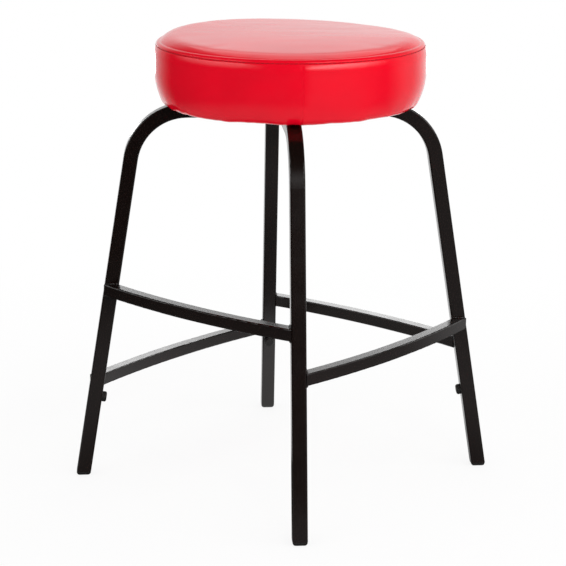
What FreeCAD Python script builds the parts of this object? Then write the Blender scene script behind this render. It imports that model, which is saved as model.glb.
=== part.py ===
"""Round padded stool: a vinyl cushion on four splayed square-tube legs, tied by four bowed rails.

The frame stands on the floor at Z = 0 with its axis at the origin. The four legs lie on the X and Y
axes: right +X, back +Y, left -X and front -Y. Lengths are in millimetres, angles in degrees.
"""
import FreeCAD, Part
import os
import re

import Sketcher

SIZES = [
    ("leg_tube", 19, "width of the square leg tube"),
    ("leg_wall", 1.5, "wall of the leg tube"),
    ("leg_corner", 2, "outer corner radius of the leg tube"),
    ("foot_radius", 272, "middle of a leg at the floor, out from the axis"),
    ("splay_angle", 9.15, "lean of a leg from upright"),
    ("run_height", 501, "middle of the tubes that run level under the seat"),
    ("bend_radius", 75, "middle line of the bend between leg and level run"),
    ("rail_tube", 16, "width of the square rail tube"),
    ("rail_wall", 1.2, "wall of the rail tube"),
    ("rail_corner", 1.5, "outer corner radius of the rail tube"),
    ("rail_bow", 13, "how far a rail bows outward between its legs"),
    ("left_front_height", 261, "middle of the rail from the left to the front leg"),
    ("front_right_height", 206, "middle of the rail from the front to the right leg"),
    ("right_back_height", 174, "middle of the rail from the right to the back leg"),
    ("back_left_height", 131, "middle of the rail from the back to the left leg"),
    ("weld_leg", 2, "leg length of a fillet weld's triangular section"),
    ("foot_head", 5, "height of a foot below the end of its tube"),
    ("foot_round", 4, "rounding of a foot's corners and lower edges"),
    ("foot_plug", 25, "height of the plug inside the tube"),
    ("foot_clearance", 0.2, "gap between a plug and the tube around it"),
    ("buffer_height", 110, "middle of a buffer on the leg's inner face"),
    ("buffer_width", 14, "diameter of a buffer's head"),
    ("buffer_depth", 6, "how far a buffer stands out of the leg"),
    ("buffer_round", 2.5, "rounding of a buffer's face"),
    ("buffer_stem", 6, "diameter of the stem through the tube's wall"),
    ("buffer_barb", 1, "how far the barb behind the wall is wider than the hole"),
    ("buffer_barb_length", 4, "length of the barb behind the wall"),
    ("buffer_clearance", 0.1, "gap between a stem and its hole"),
    ("seat_shift", 8, "how far the cushion sits to the right of the frame's axis"),
    ("seat_radius", 177.5, "cushion's radius at its widest"),
    ("seat_thick", 90, "cushion's height above the level tubes"),
    ("bulge_height", 43, "level of the widest ring above the level tubes"),
    ("crown_inset", 27.5, "edge of the crown's gently domed middle, in from the widest ring"),
    ("crown_drop", 1.2, "fall of the domed middle from its centre to its edge"),
    ("seam_inset", 7.7, "crease between top and band, in from the widest ring"),
    ("seam_drop", 9, "crease below the middle of the crown"),
    ("stitch_inset", 2.5, "stitch line on the band, in from the widest ring"),
    ("stitch_drop", 13.5, "stitch line below the middle of the crown"),
    ("tuck_inset", 18.6, "lowest ring of the band, in from the widest ring"),
    ("tuck_radius", 10, "radius with which the band turns under the board"),
    ("tuck_drop", 1.9, "how far the turned edge hangs below the level tubes"),
    ("hem_width", 41, "how far the hem reaches in under the board"),
    ("hem_curl", 13, "how far in from the board's edge the hem begins to lie flat"),
    ("cover_gauge", 1.2, "thickness of the backed vinyl"),
    ("board_thick", 12, "thickness of the plywood board"),
    ("vent_circle", 95, "distance of the board's vent holes from its centre"),
    ("vent_width", 10, "diameter of a vent hole"),
    ("screw_circle", 70, "distance of the seat screws from the frame's axis"),
    ("screw_width", 6, "diameter of a seat screw's shank"),
    ("screw_length", 30, "length of the shank"),
    ("screw_head_width", 12, "diameter of the button head"),
    ("screw_head_height", 3.3, "height of the button head"),
    ("screw_head_flat", 6, "diameter of the flat on the button head"),
    ("screw_head_round", 5, "radius of the button head's side"),
    ("screw_socket", 4, "hexagon socket across its flats"),
    ("screw_socket_depth", 2, "depth of the hexagon socket"),
    ("screw_clearance", 0.3, "gap round the shank in the tube"),
    ("washer_width", 14, "outer diameter of the washer"),
    ("washer_thick", 1.2, "thickness of the washer"),
    ("nut_flange_width", 17, "diameter of the tee nut's flange"),
    ("nut_flange", 1.5, "thickness of the tee nut's flange"),
    ("nut_barrel_width", 8, "diameter of the tee nut's barrel"),
    ("nut_barrel", 9, "length of the barrel below the flange"),
    ("nut_clearance", 0.1, "gap round the tee nut in the board, and round the thread in it"),
    ("staple_inset", 25, "ring of staples, in from the board's edge"),
    ("staple_width", 10, "width of a staple's crown"),
    ("staple_wire", 0.7, "thickness of the staple wire"),
    ("staple_depth", 1.2, "breadth of the staple wire"),
    ("staple_leg", 8, "length of a staple's legs above the hem's face"),
    ("staple_clearance", 0.05, "gap between a staple's leg and its slot"),
]

STAPLE_COUNT = 24
QUARTERS = {"right": 0, "back": 90, "left": 180, "front": 270}
RAILS = {  # name of the height, and the turn from the right and back legs to the rail's own
    "right_back": 0,
    "back_left": 90,
    "left_front": 180,
    "front_right": 270,
}

FORMULAS = {
    # frame, seen from the side: out from the axis and up from the floor
    "slope": "tan(splay_angle)",
    "leg_half": "(leg_tube / 2)",
    "level_half": "(leg_half / cos(splay_angle))",
    "bore_half": "(leg_half - leg_wall)",
    "run_top": "(run_height + leg_half)",
    "run_bottom": "(run_height - leg_half)",
    "bend_up": "(run_height - bend_radius)",
    "bend_out": "(foot_radius - (bend_radius + bend_up * sin(splay_angle)) / cos(splay_angle))",
    "plug_half": "(bore_half - foot_clearance)",
    "buffer_out": "(foot_radius - slope * buffer_height - level_half)",
    "buffer_hole": "(buffer_stem / 2 + buffer_clearance)",
    # cushion, out from its own centre and up from the top of the level tubes
    "crown_radius": "(seat_radius - crown_inset)",
    "crown_bend": "((crown_radius ^ 2 + crown_drop ^ 2) / (2 * crown_drop))",
    "crown_x": "(crown_radius / crown_bend)",
    "crown_y": "(1 - crown_drop / crown_bend)",
    "crown_edge": "(seat_thick - crown_drop)",
    "seam_out": "(seat_radius - seam_inset)",
    "seam_up": "(seat_thick - seam_drop)",
    "fall_out": "(seam_out - crown_radius)",
    "fall_down": "(crown_edge - seam_up)",
    "shoulder_bend": "((fall_out ^ 2 + fall_down ^ 2) / (2 * (fall_down * crown_y - fall_out * crown_x)))",
    "shoulder_x": "((fall_out + shoulder_bend * crown_x) / shoulder_bend)",
    "shoulder_y": "((shoulder_bend * crown_y - fall_down) / shoulder_bend)",
    "stitch_out": "(seat_radius - stitch_inset)",
    "stitch_up": "(seat_thick - stitch_drop)",
    "wall_rise": "(stitch_up - bulge_height)",
    "wall_bend": "((wall_rise ^ 2 + stitch_inset ^ 2) / (2 * stitch_inset))",
    "wall_x": "(1 - stitch_inset / wall_bend)",
    "wall_y": "(wall_rise / wall_bend)",
    "roll_out": "(stitch_out - seam_out)",
    "roll_down": "(seam_up - stitch_up)",
    "roll_bend": "((roll_out ^ 2 + roll_down ^ 2) / (2 * (roll_out * wall_x - roll_down * wall_y)))",
    "roll_x": "((roll_bend * wall_x - roll_out) / roll_bend)",
    "roll_y": "((roll_bend * wall_y + roll_down) / roll_bend)",
    "side_drop": "(bulge_height + tuck_drop)",
    "side_reach": "(tuck_inset ^ 2 + side_drop ^ 2 - 2 * side_drop * tuck_radius)",
    "side_bend": "(side_reach / (2 * (tuck_inset - tuck_radius)))",
    "side_x": "((side_bend - tuck_inset) / (side_bend - tuck_radius))",
    "side_y": "((side_drop - tuck_radius) / (side_bend - tuck_radius))",
    "board_radius": "(seat_radius - tuck_inset)",
    "hem_inner": "(board_radius - hem_width)",
    "hem_flat": "(board_radius - hem_curl)",
    "board_top": "(cover_gauge + board_thick)",
    # staples, in a ring round the frame's axis, so that they stay clear of the level tubes
    "staple_circle": "(board_radius - staple_inset)",
    "slot_half": "(staple_wire / 2 + staple_clearance)",
    "slot_depth_half": "(staple_depth / 2 + staple_clearance)",
    "leg_middle": "((staple_width - staple_wire) / 2)",
}

doc = FreeCAD.newDocument("round_stool")


def make_sheet():
    """Put every driving size in the sheet, one row each, with its name as the alias."""
    cells = doc.addObject("Spreadsheet::Sheet", "Sizes")
    for row, (name, value, note) in enumerate(SIZES, 1):
        cells.set(f"A{row}", name)
        cells.set(f"B{row}", str(value))
        cells.set(f"C{row}", note)
        cells.setAlias(f"B{row}", name)
    doc.recompute()
    return cells


sheet = make_sheet()
DERIVED = re.compile(r"\b(" + "|".join(FORMULAS) + r")\b")
DRIVING = re.compile(r"\b(" + "|".join(name for name, _, _ in SIZES) + r")\b")


def bound(formula):
    """Write a formula out in the sheet's own cells."""
    text = str(formula)
    while DERIVED.search(text):
        text = DERIVED.sub(lambda match: FORMULAS[match.group(0)], text)
    return DRIVING.sub(lambda match: "Sizes." + match.group(0), text)


def val(formula):
    """Value of a formula at the sheet's present sizes."""
    return float(sheet.evalExpression(bound(formula)))


def place(thing, x="0", y="0", z="0", turn=0, tilt="0"):
    """Tilt a sub-part about Y, turn it about Z with its place, and keep both tied to the sheet."""
    spin = f"rotation(vector(0; 0; 1); {turn})"
    lean = f"rotation(vector(0; 1; 0); {bound(tilt)})"
    spot = f"vector({bound(x)}; {bound(y)}; {bound(z)})"
    thing.setExpression("Placement", f"placement(vector(0; 0; 0); {spin}) * placement({spot}; {lean})")


def make_body(label):
    body = doc.addObject("PartDesign::Body", label)
    body.Label = label
    return body


def plane(body, role):
    return next(feature for feature in body.Origin.OriginFeatures if feature.Role == role)


def make_sketch(body, name, role="XY_Plane", offset=("0", "0", "0"), lean="0"):
    """Sketch on an origin plane, moved within the plane's own axes and leaned about its first."""
    sketch = body.newObject("Sketcher::SketchObject", f"{body.Name}_{name}")
    sketch.AttachmentSupport = (plane(body, role), [""])
    sketch.MapMode = "FlatFace"
    spot = "; ".join(bound(part) for part in offset)
    rotation = f"rotation(vector(1; 0; 0); {bound(lean)})"
    sketch.setExpression("AttachmentOffset", f"placement(vector({spot}); {rotation})")
    return sketch


def bind(sketch, kind, *args):
    """Add a dimension whose last argument is a formula."""
    *where, formula = args
    number = sketch.addConstraint(Sketcher.Constraint(kind, *where, val(formula)))
    sketch.setExpression(f"Constraints[{number}]", bound(formula))


def pin(sketch, edge, point, x, y):
    """Hold a point of the sketch at X and Y, or on an axis where the formula is plain zero."""
    for kind, axis, formula in (("DistanceX", -2, x), ("DistanceY", -1, y)):
        if formula == "0":
            sketch.addConstraint(Sketcher.Constraint("PointOnObject", edge, point, axis))
        else:
            bind(sketch, kind, -1, 1, edge, point, formula)


def minor_arc(start, end, radius):
    """Arc of less than half a turn, counter-clockwise where the radius is positive."""
    chord = end - start
    half = chord.Length / 2
    left = FreeCAD.Vector(-chord.y, chord.x, 0).normalize()
    rise = (radius ** 2 - half ** 2) ** 0.5 * (1 if radius > 0 else -1)
    centre = (start + end) * 0.5 + left * rise
    first, last = (start, end) if radius > 0 else (end, start)
    turns = [(point - centre).getAngle(FreeCAD.Vector(1, 0, 0)) * (1 if point.y >= centre.y else -1)
             for point in (first, last)]
    circle = Part.Circle(centre, FreeCAD.Vector(0, 0, 1), abs(radius))
    return Part.ArcOfCircle(circle, *turns)


def draw_outline(sketch, corners):
    """Closed outline of (x, y) corners; a third entry is the radius of the arc to the next corner."""
    spots = [FreeCAD.Vector(val(corner[0]), val(corner[1]), 0) for corner in corners]
    base = sketch.GeometryCount
    ends = []
    for index, corner in enumerate(corners):
        start, end = spots[index], spots[(index + 1) % len(spots)]
        if len(corner) == 2:
            sketch.addGeometry(Part.LineSegment(start, end), False)
            ends.append((1, 2))
        else:
            sketch.addGeometry(minor_arc(start, end, val(corner[2])), False)
            ends.append((1, 2) if val(corner[2]) > 0 else (2, 1))
    for index, corner in enumerate(corners):
        edge = base + index
        after = (index + 1) % len(corners)
        joined = Sketcher.Constraint("Coincident", edge, ends[index][1], base + after, ends[after][0])
        sketch.addConstraint(joined)
        pin(sketch, edge, ends[index][0], corner[0], corner[1])
        if len(corner) == 3:
            bind(sketch, "Radius", edge, corner[2].lstrip("-"))


def draw_circle(sketch, x, y, radius):
    centre = FreeCAD.Vector(val(x), val(y), 0)
    circle = Part.Circle(centre, FreeCAD.Vector(0, 0, 1), val(radius))
    edge = sketch.addGeometry(circle, False)
    bind(sketch, "Radius", edge, radius)
    pin(sketch, edge, 3, x, y)


def rectangle(left, bottom, right, top):
    return [(left, bottom), (right, bottom), (right, top), (left, top)]


def pad(body, sketch, length, side="One side"):
    feature = body.newObject("PartDesign::Pad", f"{sketch.Name}_pad")
    feature.Profile = sketch
    feature.SideType = side
    feature.setExpression("Length", bound(length))
    doc.recompute()
    return feature


def pocket(body, sketch, length=None, side="One side", reverse=False):
    """Cut a sketch's outline away, through everything where no length is given."""
    before = body.Shape.Volume
    feature = body.newObject("PartDesign::Pocket", f"{sketch.Name}_cut")
    feature.Profile = sketch
    feature.SideType = side
    feature.Reversed = reverse
    if length is None:
        feature.Type = "ThroughAll"
    else:
        feature.setExpression("Length", bound(length))
    doc.recompute()
    if body.Shape.Volume >= before:
        raise RuntimeError(f"{feature.Name} removes nothing")
    return feature


def revolve(body, outline):
    """Turn an outline drawn out from the axis and up into a solid of revolution."""
    sketch = make_sketch(body, "section", "XZ_Plane")
    draw_outline(sketch, outline)
    feature = body.newObject("PartDesign::Revolution", f"{body.Name}_turned")
    feature.Profile = sketch
    feature.ReferenceAxis = (sketch, ["V_Axis"])
    feature.Angle = 360
    doc.recompute()
    return feature


def round_edges(body, radius, wanted):
    """Fillet the edges of the body's last feature that the test picks out."""
    base = body.Tip
    names = [f"Edge{number}" for number, edge in enumerate(base.Shape.Edges, 1) if wanted(edge)]
    feature = body.newObject("PartDesign::Fillet", f"{base.Name}_round")
    feature.Base = (base, names)
    feature.setExpression("Radius", bound(radius))
    doc.recompute()
    return feature


def repeat(body, features, axis_sketch, count):
    pattern = body.newObject("PartDesign::PolarPattern", f"{features[0].Name}_ring")
    pattern.Originals = features
    pattern.Axis = (axis_sketch, ["N_Axis"])
    pattern.Angle = 360
    pattern.Occurrences = count
    body.Tip = pattern
    doc.recompute()
    return pattern


def all_at(edge, axis, level):
    """True where both ends of an edge lie at this level of an axis."""
    return all(abs(getattr(vertex.Point, axis) - level) < 1e-4 for vertex in edge.Vertexes)


# Legs

def leg_side(half, end):
    """Outer and inner points of one leg in side view, from its lower end up to the level run."""
    width = f"({half}) / cos(splay_angle)"
    foot = f"foot_radius - slope * ({end})"
    outer, inner = f"(bend_radius + {half})", f"(bend_radius - {half})"
    touch = "bend_out + {0} * cos(splay_angle)", "bend_up + {0} * sin(splay_angle)"
    outside = [(f"{foot} + {width}", end), tuple(part.format(outer) for part in touch) + (outer,),
               ("bend_out", f"run_height + {half}")]
    inside = [("bend_out", f"run_height - {half}", "-" + inner),
              tuple(part.format(inner) for part in touch), (f"{foot} - {width}", end)]
    return outside, inside


def mirrored(points):
    """The other side's points, in reverse order, with each arc kept on its own stretch."""
    flipped = []
    for index in range(len(points) - 1, -1, -1):
        x, y = points[index][:2]
        arc = points[index - 1][2:] if index else ()
        flipped.append((f"-({x})", y) + arc)
    return flipped


def hoop_outline(half, end):
    """Two legs and the run between them, as one bent tube."""
    outside, inside = leg_side(half, end)
    return outside + mirrored(outside) + mirrored(inside) + inside


def half_outline(half, end, butt):
    """One leg whose level run stops at a distance from the axis."""
    outside, inside = leg_side(half, end)
    return outside + [(butt, f"run_height + {half}"), (butt, f"run_height - {half}")] + inside


def bend_tube(body, outline_of):
    """Square tube from a side outline: a solid bar, its long edges rounded, then its bore."""
    bar = make_sketch(body, "outside", "XZ_Plane")
    draw_outline(bar, outline_of("leg_half", "foot_head"))
    pad(body, bar, "leg_tube", "Symmetric")
    foot, butt, side = val("foot_head"), val("leg_half"), val("leg_half")

    def is_long(edge):
        flat = all_at(edge, "y", side) or all_at(edge, "y", -side)
        return flat and not all_at(edge, "z", foot) and not all_at(edge, "x", butt)

    round_edges(body, "leg_corner", is_long)
    bore = make_sketch(body, "bore", "XZ_Plane")
    draw_outline(bore, outline_of("bore_half", "foot_head - leg_wall"))
    pocket(body, bore, "2 * bore_half", "Symmetric")


def drill_leg(body, sides):
    """Cut the screw hole in the level run and the buffer's hole in the inner wall."""
    holes = make_sketch(body, "screw_holes")
    for side in sides:
        draw_circle(holes, f"{side} * screw_circle", "0", "screw_width / 2 + screw_clearance")
    pocket(body, holes, side="Symmetric")
    spot = ("0", "buffer_height", "buffer_out")
    hole = make_sketch(body, "buffer_hole", "YZ_Plane", spot, "-splay_angle")
    draw_circle(hole, "0", "0", "buffer_hole")
    return pocket(body, hole, "2 * leg_wall", reverse=True)


def make_hoop():
    body = make_body("leg_hoop")
    bend_tube(body, hoop_outline)
    hole = drill_leg(body, (1, -1))
    mirror = body.newObject("PartDesign::Mirrored", "leg_hoop_mirror")
    mirror.Originals = [hole]
    mirror.MirrorPlane = (plane(body, "YZ_Plane"), [""])
    body.Tip = mirror
    place(body)
    return body


def make_half_leg(side):
    body = make_body(f"leg_{side}")

    def outline(half, end):
        butt = "leg_half" if half == "leg_half" else "leg_half - leg_wall"
        return half_outline(half, end, butt)

    bend_tube(body, outline)
    drill_leg(body, (1,))
    place(body, turn=QUARTERS[side])
    return body


def make_foot(side):
    """Plastic end: a rounded head under the tube and a plug up inside it."""
    body = make_body(f"foot_{side}")
    lift = "slope * foot_head"
    head = make_sketch(body, "head", "XZ_Plane")
    draw_outline(head, [
        ("foot_radius - level_half", "0"), ("foot_radius + level_half", "0"),
        (f"foot_radius + level_half - {lift}", "foot_head"),
        (f"foot_radius - level_half - {lift}", "foot_head"),
    ])
    pad(body, head, "leg_tube", "Symmetric")
    round_edges(body, "foot_round", lambda edge: not all_at(edge, "z", val("foot_head")))
    width = "plug_half / cos(splay_angle)"
    low, high = "foot_radius - slope * foot_head", "foot_radius - slope * (foot_head + foot_plug)"
    top = "foot_head + foot_plug"
    plug = make_sketch(body, "plug", "XZ_Plane")
    draw_outline(plug, [(f"{low} - {width}", "foot_head"), (f"{low} + {width}", "foot_head"),
                        (f"{high} + {width}", top), (f"{high} - {width}", top)])
    pad(body, plug, "2 * plug_half", "Symmetric")
    place(body, turn=QUARTERS[side])
    return body


def make_buffer(side):
    """Rubber button with a stem and barb, its axis square to the leg's inner face."""
    body = make_body(f"buffer_{side}")
    stem, barb = "buffer_stem / 2", "buffer_hole + buffer_barb"
    inside = "-(leg_wall + buffer_clearance)"
    rim = "buffer_depth - buffer_round"
    revolve(body, [
        ("0", f"{inside} - buffer_barb_length"), (f"{stem} - buffer_barb", f"{inside} - buffer_barb_length"),
        (barb, inside), (stem, inside), (stem, "0"), ("buffer_width / 2", "0"),
        ("buffer_width / 2", rim, "buffer_round"), ("buffer_width / 2 - buffer_round", "buffer_depth"),
        ("0", "buffer_depth"),
    ])
    place(body, "buffer_out", "0", "buffer_height", QUARTERS[side], "-(90 + splay_angle)")
    return body


# Rails

def rail_terms(name):
    """Formulas of a rail in plan, between a leg on +X and a leg on +Y at the rail's height."""
    edge = f"(foot_radius - slope * {name}_height + level_half)"
    bend = f"((({edge} - leg_half) ^ 2 / 2 + rail_bow ^ 2) / (2 * rail_bow))"
    centre = f"(({edge} + leg_half) / 2 - ({bend} - rail_bow) / sqrt(2))"
    return bend, centre


def rail_outline(name, inset, end):
    """Plan of the rail, its two faces drawn in by an inset, between the planes at the legs' sides."""
    bend, centre = rail_terms(name)
    outer, inner = f"({bend} - {inset})", f"({bend} - rail_tube + {inset})"
    far = f"{centre} + sqrt({outer} ^ 2 - ({end} - {centre}) ^ 2)"
    near = f"{centre} + sqrt({inner} ^ 2 - ({end} - {centre}) ^ 2)"
    return [(far, end, outer), (end, far), (end, near, "-" + inner), (near, end)]


def make_rail(name, turn):
    body = make_body(f"rail_{name}")
    bar = make_sketch(body, "plan")
    draw_outline(bar, rail_outline(name, "0", "leg_half"))
    pad(body, bar, "rail_tube", "Symmetric")
    round_edges(body, "rail_corner", lambda edge: edge.Curve.TypeId == "Part::GeomCircle")
    bore = make_sketch(body, "bore")
    draw_outline(bore, rail_outline(name, "rail_wall", "(leg_half - rail_wall)"))
    pocket(body, bore, "rail_tube - 2 * rail_wall", "Symmetric")
    place(body, z=f"{name}_height", turn=turn)
    return body


def weld_bead(start, along, first, second):
    """Straight fillet weld of triangular section between two faces."""
    section = Part.makePolygon([start, start + first, start + second, start])
    return Part.Face(section).extrude(along)


def make_rail_welds(name, turn):
    """Beads above and below both ends of a rail, on the side faces of its two legs."""
    level, side, bead = val(f"{name}_height"), val("leg_half"), val("weld_leg")
    beads = []
    for up in (1, -1):
        height = level + up * val("rail_tube") / 2
        middle = val("foot_radius") - val("slope") * (height + up * bead)
        reach = val("level_half") - val("leg_corner")
        lift = FreeCAD.Vector(0, 0, up * bead)
        for along, out in ((FreeCAD.Vector(1, 0, 0), FreeCAD.Vector(0, 1, 0)),
                           (FreeCAD.Vector(0, 1, 0), FreeCAD.Vector(1, 0, 0))):
            start = along * (middle - reach) + out * side + FreeCAD.Vector(0, 0, height)
            beads.append(weld_bead(start, along * (2 * reach), lift, out * bead))
    feature = doc.addObject("Part::Feature", f"weld_{name}")
    feature.Shape = Part.makeCompound(beads)
    feature.Placement = FreeCAD.Placement(FreeCAD.Vector(), FreeCAD.Rotation(FreeCAD.Vector(0, 0, 1), turn))
    return feature


def make_cross_welds():
    """Upright beads in the four corners where the front and back runs meet the hoop."""
    side, bead = val("leg_half"), val("weld_leg")
    low = val("run_bottom + leg_corner")
    rise = FreeCAD.Vector(0, 0, val("run_top - leg_corner") - low)
    beads = []
    for x in (1, -1):
        for y in (1, -1):
            start = FreeCAD.Vector(x * side, y * side, low)
            across, along = FreeCAD.Vector(x * bead, 0, 0), FreeCAD.Vector(0, y * bead, 0)
            beads.append(weld_bead(start, rise, across, along))
    feature = doc.addObject("Part::Feature", "weld_cross")
    feature.Shape = Part.makeCompound(beads)
    return feature


# Cushion

def skin(depth):
    """Points of the cover at a depth below its outer face, from crown to hem, by name."""
    return {
        "crown": ("0", f"seat_thick - {depth}"),
        "shoulder": (f"crown_radius - {depth} * crown_x", f"crown_edge - {depth} * crown_y"),
        "seam_top": (f"seam_out - {depth} * shoulder_x", f"seam_up - {depth} * shoulder_y"),
        "seam_band": (f"seam_out - {depth} * roll_x", f"seam_up - {depth} * roll_y"),
        "stitch": (f"stitch_out - {depth} * wall_x", f"stitch_up - {depth} * wall_y"),
        "bulge": (f"seat_radius - {depth}", "bulge_height"),
        "side": (f"seat_radius - side_bend + (side_bend - {depth}) * side_x",
                 f"bulge_height - (side_bend - {depth}) * side_y"),
        "tuck": ("board_radius", f"{depth} - tuck_drop"),
    }


def arcs(points, depth, steps, inward):
    """Join skin points by the arcs that belong between them, going down or back up."""
    bends = {"crown": "crown_bend", "shoulder": "shoulder_bend", "seam_band": "roll_bend",
             "stitch": "wall_bend", "bulge": "side_bend", "side": "tuck_radius"}
    chain = []
    for here, there in zip(steps, steps[1:]):
        upper = there if inward else here
        sign = "" if inward else "-"
        chain.append(points[here] + (f"{sign}({bends[upper]} - {depth})",))
    return chain + [points[steps[-1]]]


TOP_STEPS = ["crown", "shoulder", "seam_top"]
BAND_STEPS = ["seam_band", "stitch", "bulge", "side", "tuck"]
OUTER, INNER = skin("0"), skin("cover_gauge")
SEAT = {"x": "seat_shift", "z": "run_top"}


def make_cover_top():
    body = make_body("cover_top")
    revolve(body, arcs(OUTER, "0", TOP_STEPS, False)
            + arcs(INNER, "cover_gauge", TOP_STEPS[::-1], True))
    place(body, **SEAT)
    return body


def staple_slots(body, level, depth):
    """Cut the ring of slot pairs for the staples' legs, upward from a level, round the frame's axis."""
    slots = make_sketch(body, "staple_slots", offset=("-seat_shift", "0", level))
    for sign in (1, -1):
        middle = f"{sign} * leg_middle"
        draw_outline(slots, rectangle("staple_circle - slot_depth_half", f"{middle} - slot_half",
                                      "staple_circle + slot_depth_half", f"{middle} + slot_half"))
    half_pitch = 180 / STAPLE_COUNT
    spot = f"vector({bound('-seat_shift')}; 0; {bound(level)})"
    slots.setExpression("AttachmentOffset", f"placement({spot}; rotation(vector(0; 0; 1); {half_pitch}))")
    cut = pocket(body, slots, depth, reverse=True)
    repeat(body, [cut], slots, STAPLE_COUNT)


def make_cover_band():
    body = make_body("cover_band")
    hem = [("hem_flat", "0"), ("hem_inner", "0"), ("hem_inner", "cover_gauge"), ("hem_flat", "cover_gauge")]
    revolve(body, arcs(OUTER, "0", BAND_STEPS, False) + hem
            + arcs(INNER, "cover_gauge", BAND_STEPS[::-1], True))
    staple_slots(body, "0", "cover_gauge")
    place(body, **SEAT)
    return body


def make_foam():
    body = make_body("seat_foam")
    revolve(body, [("0", "board_top"), ("board_radius", "board_top")]
            + arcs(INNER, "cover_gauge", BAND_STEPS[::-1], True)
            + arcs(INNER, "cover_gauge", TOP_STEPS[::-1], True))
    place(body, **SEAT)
    return body


def make_board():
    body = make_body("seat_board")
    disc = make_sketch(body, "disc", offset=("0", "0", "cover_gauge"))
    draw_circle(disc, "0", "0", "board_radius")
    pad(body, disc, "board_thick")
    vent = make_sketch(body, "vent", offset=("0", "0", "board_top"))
    draw_circle(vent, "vent_circle / sqrt(2)", "vent_circle / sqrt(2)", "vent_width / 2")
    repeat(body, [pocket(body, vent)], vent, len(QUARTERS))
    hole = make_sketch(body, "nut_hole", offset=("-seat_shift", "0", "board_top"))
    draw_circle(hole, "screw_circle", "0", "nut_barrel_width / 2 + nut_clearance")
    through = pocket(body, hole)
    seat = make_sketch(body, "nut_recess", offset=("-seat_shift", "0", "board_top"))
    draw_circle(seat, "screw_circle", "0", "nut_flange_width / 2 + nut_clearance")
    recess = pocket(body, seat, "nut_flange")
    repeat(body, [through, recess], hole, len(QUARTERS))
    staple_slots(body, "cover_gauge", "staple_leg + staple_clearance - cover_gauge")
    place(body, **SEAT)
    return body


def make_staples():
    """Ring of wire staples through the hem into the board, clear of the level tubes."""
    wide, wire, deep = val("staple_width"), val("staple_wire"), val("staple_depth")
    out, leg = val("staple_circle") - deep / 2, val("staple_leg")
    crown = Part.makeBox(deep, wide, wire, FreeCAD.Vector(out, -wide / 2, -wire))
    legs = [Part.makeBox(deep, wire, leg, FreeCAD.Vector(out, y, 0)) for y in (-wide / 2, wide / 2 - wire)]
    staple = crown.fuse(legs).removeSplitter()
    ring = []
    for index in range(STAPLE_COUNT):
        copy = staple.copy()
        turn = 360 * (index + 0.5) / STAPLE_COUNT
        copy.rotate(FreeCAD.Vector(), FreeCAD.Vector(0, 0, 1), turn)
        ring.append(copy)
    feature = doc.addObject("Part::Feature", "cover_staples")
    feature.Shape = Part.makeCompound(ring)
    feature.Placement = FreeCAD.Placement(FreeCAD.Vector(0, 0, val("run_top")), FreeCAD.Rotation())
    return feature


# Fasteners

def make_screw(side):
    """Button-head screw, its shank up from the origin and its head below."""
    body = make_body(f"seat_screw_{side}")
    shank, head, flat = "screw_width / 2", "screw_head_width / 2", "screw_head_flat / 2"
    low = "-screw_head_height"
    revolve(body, [("0", low), (flat, low, "screw_head_round"), (head, "0"), (shank, "0"),
                   (shank, "screw_length"), ("0", "screw_length")])
    socket = make_sketch(body, "socket", offset=("0", "0", "-screw_head_height"))
    corner = "screw_socket / sqrt(3)"
    draw_outline(socket, [(f"{corner} * cos({60 * index + 30})", f"{corner} * sin({60 * index + 30})")
                          for index in range(6)])
    pocket(body, socket, "screw_socket_depth", reverse=True)
    place(body, "screw_circle", "0", "run_bottom - washer_thick", QUARTERS[side])
    return body


def make_washer(side):
    body = make_body(f"washer_{side}")
    ring = make_sketch(body, "ring")
    draw_circle(ring, "0", "0", "washer_width / 2")
    draw_circle(ring, "0", "0", "screw_width / 2 + screw_clearance")
    pad(body, ring, "washer_thick")
    place(body, "screw_circle", "0", "run_bottom - washer_thick", QUARTERS[side])
    return body


def make_nut(side):
    """Tee nut: a round flange let into the board's top, and a threaded barrel below it."""
    body = make_body(f"tee_nut_{side}")
    bore, barrel, flange = "screw_width / 2 + nut_clearance", "nut_barrel_width / 2", "nut_flange_width / 2"
    low = "-(nut_flange + nut_barrel)"
    revolve(body, [(bore, low), (barrel, low), (barrel, "-nut_flange"), (flange, "-nut_flange"),
                   (flange, "0"), (bore, "0")])
    place(body, "screw_circle", "0", "run_top + board_top", QUARTERS[side])
    return body


def make_parts():
    """Every sub-part of the stool, from the feet up."""
    parts = [make_hoop(), make_half_leg("back"), make_half_leg("front"), make_cross_welds()]
    for side in QUARTERS:
        parts += [make_foot(side), make_buffer(side)]
    for name, turn in RAILS.items():
        parts += [make_rail(name, turn), make_rail_welds(name, turn)]
    parts += [make_board(), make_foam(), make_cover_top(), make_cover_band(), make_staples()]
    for side in QUARTERS:
        parts += [make_screw(side), make_washer(side), make_nut(side)]
    return parts


def check(parts):
    """Stop at any feature that failed and any sub-part that is empty or broken."""
    doc.recompute()
    for thing in doc.Objects:
        if "Invalid" in thing.State or "Error" in thing.State:
            raise RuntimeError(f"{thing.Name} failed to build: {thing.State}")
    for part in parts:
        if part.Shape.isNull() or not part.Shape.isValid() or part.Shape.Volume <= 0:
            raise RuntimeError(f"{part.Label} has no sound shape")


def write(parts):
    os.makedirs("parts", exist_ok=True)
    for part in parts:
        part.Shape.exportStep(f"parts/{part.Label}.step")
        box = part.Shape.BoundBox
        print(f"{part.Label}: {len(part.Shape.Solids)} solid(s), {part.Shape.Volume:.0f} mm3, "
              f"Z {box.ZMin:.1f} to {box.ZMax:.1f}")


stool = make_parts()
check(stool)
write(stool)
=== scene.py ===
"""Round padded stool around its packed frame: cushion, welds, staples, finishes and studio.

Lengths are in metres, in the frame's own axes: the stool stands on Z = 0 and its front leg points
along -Y. It has no joints, so every piece rides on the one body.
"""

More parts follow.
